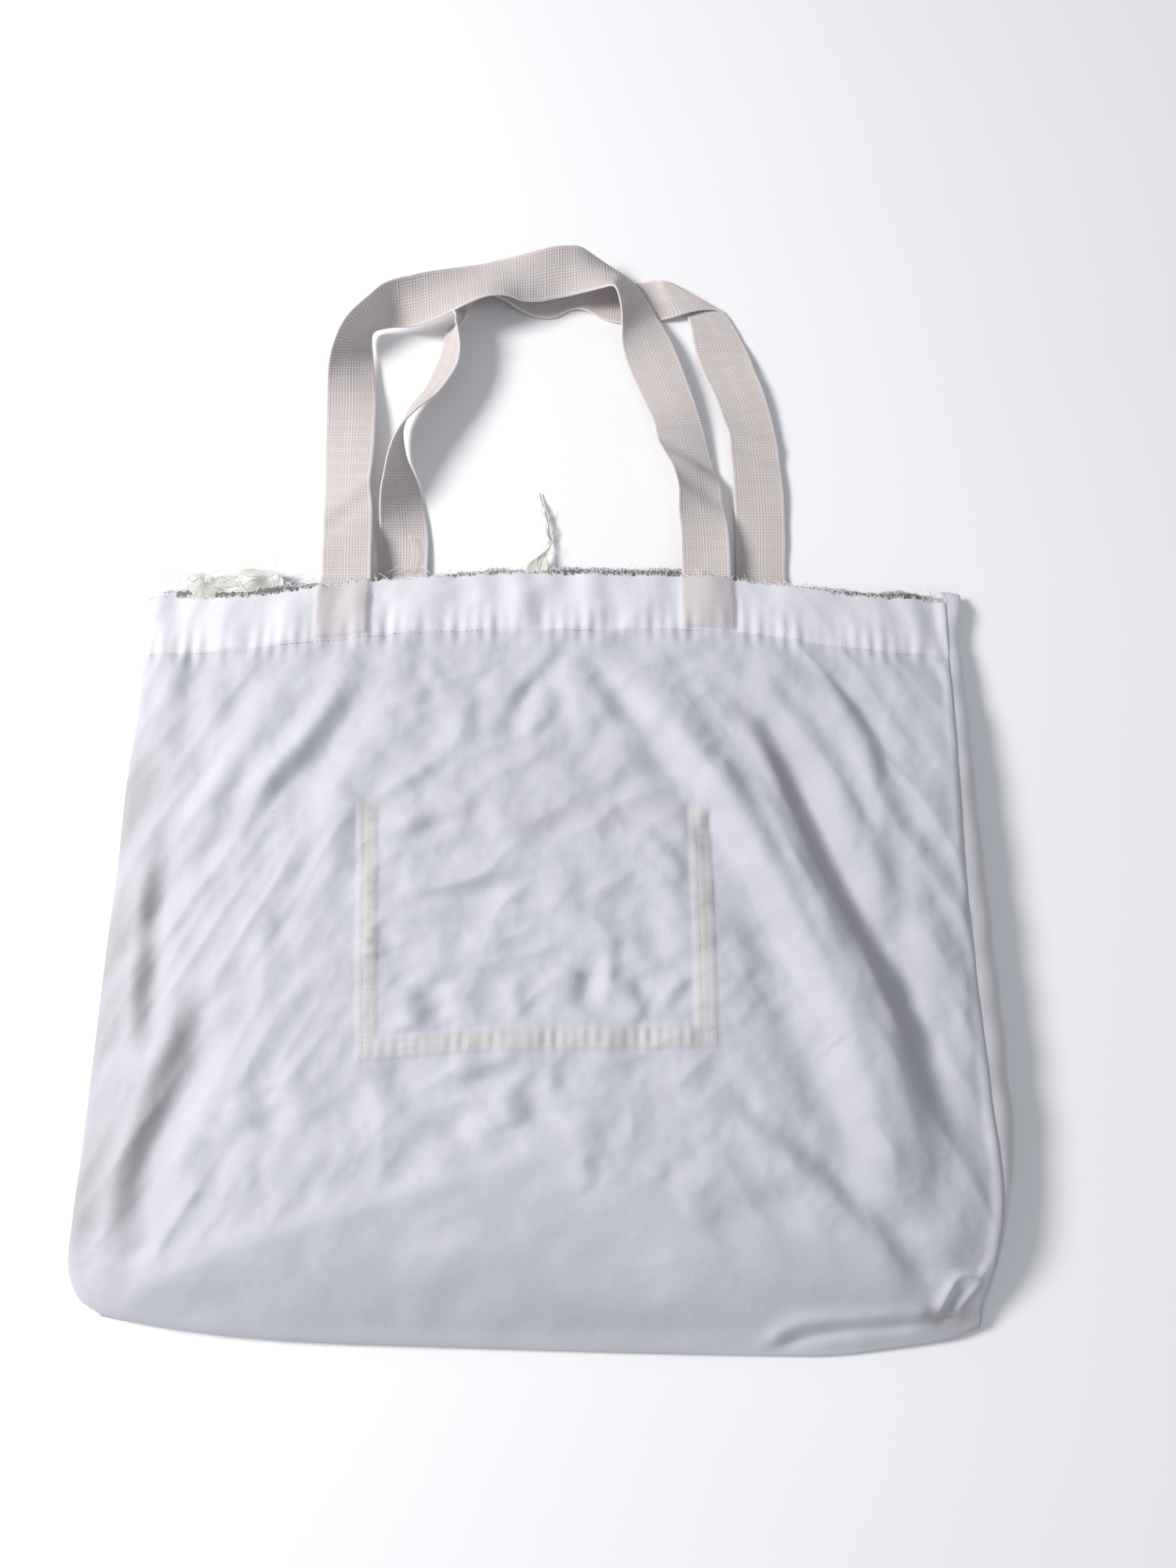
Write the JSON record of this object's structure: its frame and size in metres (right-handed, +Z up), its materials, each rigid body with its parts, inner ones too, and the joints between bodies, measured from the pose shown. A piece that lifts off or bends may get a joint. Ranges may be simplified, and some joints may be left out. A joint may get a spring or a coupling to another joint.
{
  "type": "canvas tote bag",
  "caption": "Worn off-white canvas tote bag lying flat, with a raw frayed mouth, webbing handles, an inner pocket stitched through the front and a boxed bottom.",
  "frame": {"origin": "on the table under the middle of the whole object, handles included", "axes": "+X across the bag to the right, +Y from the bottom towards the mouth and the handles, +Z up out of the front panel"},
  "size_m": [0.495, 0.6566, 0.0407],
  "materials": {
    "canvas": "washed cotton canvas, fine plain weave, soft and matte",
    "facing": "the same canvas as an inner facing strip, matte",
    "webbing": "off-white cotton webbing with a waffle weave, matte",
    "thread": "cream sewing thread",
    "lining": "thin frayed lining, pale cream"
  },
  "bodies": {
    "bag_back": {"back_panel": "canvas", "back_panel_left_edge": "canvas", "back_panel_right_edge": "canvas", "bottom_panel": "canvas", "left_corner_seam": "canvas", "right_corner_seam": "canvas", "left_side_seam": "canvas", "right_side_seam": "canvas", "back_facing": "facing", "back_handle_left_end": "webbing", "back_handle_right_end": "webbing", "back_hem_stitching": "thread", "lining_remnant": "lining", "frayed_tongue": "lining"},
    "bag_front": {"front_panel": "canvas", "front_facing": "facing", "front_handle_left_end": "webbing", "front_handle_right_end": "webbing", "front_hem_stitching": "thread", "pocket_panel": "canvas", "pocket_mouth_hem": "canvas", "pocket_left_stitching": "thread", "pocket_right_stitching": "thread", "pocket_bottom_stitching": "thread"},
    "front_handle_loop": {"front_handle": "webbing"},
    "back_handle_loop": {"back_handle": "webbing"}
  },
  "joints": [
    {"name": "mouth_open", "type": "hinge", "parent": "bag_back", "child": "bag_front", "pos_m": [0, -0.24585, 0.0395], "axis": [1, 0, 0], "range_deg": [0, 8]},
    {"name": "front_handle_swing", "type": "hinge", "parent": "bag_front", "child": "front_handle_loop", "pos_m": [0, 0.09566, 0.018], "axis": [1, 0, 0], "range_deg": [0, 170]},
    {"name": "back_handle_swing", "type": "hinge", "parent": "bag_back", "child": "back_handle_loop", "pos_m": [0, 0.10565, 0.0025], "axis": [1, 0, 0], "range_deg": [0, 85]}
  ],
  "couplings": [
    {"joint": "back_handle_swing", "follows": "front_handle_swing", "ratio": 0.5}
  ]
}
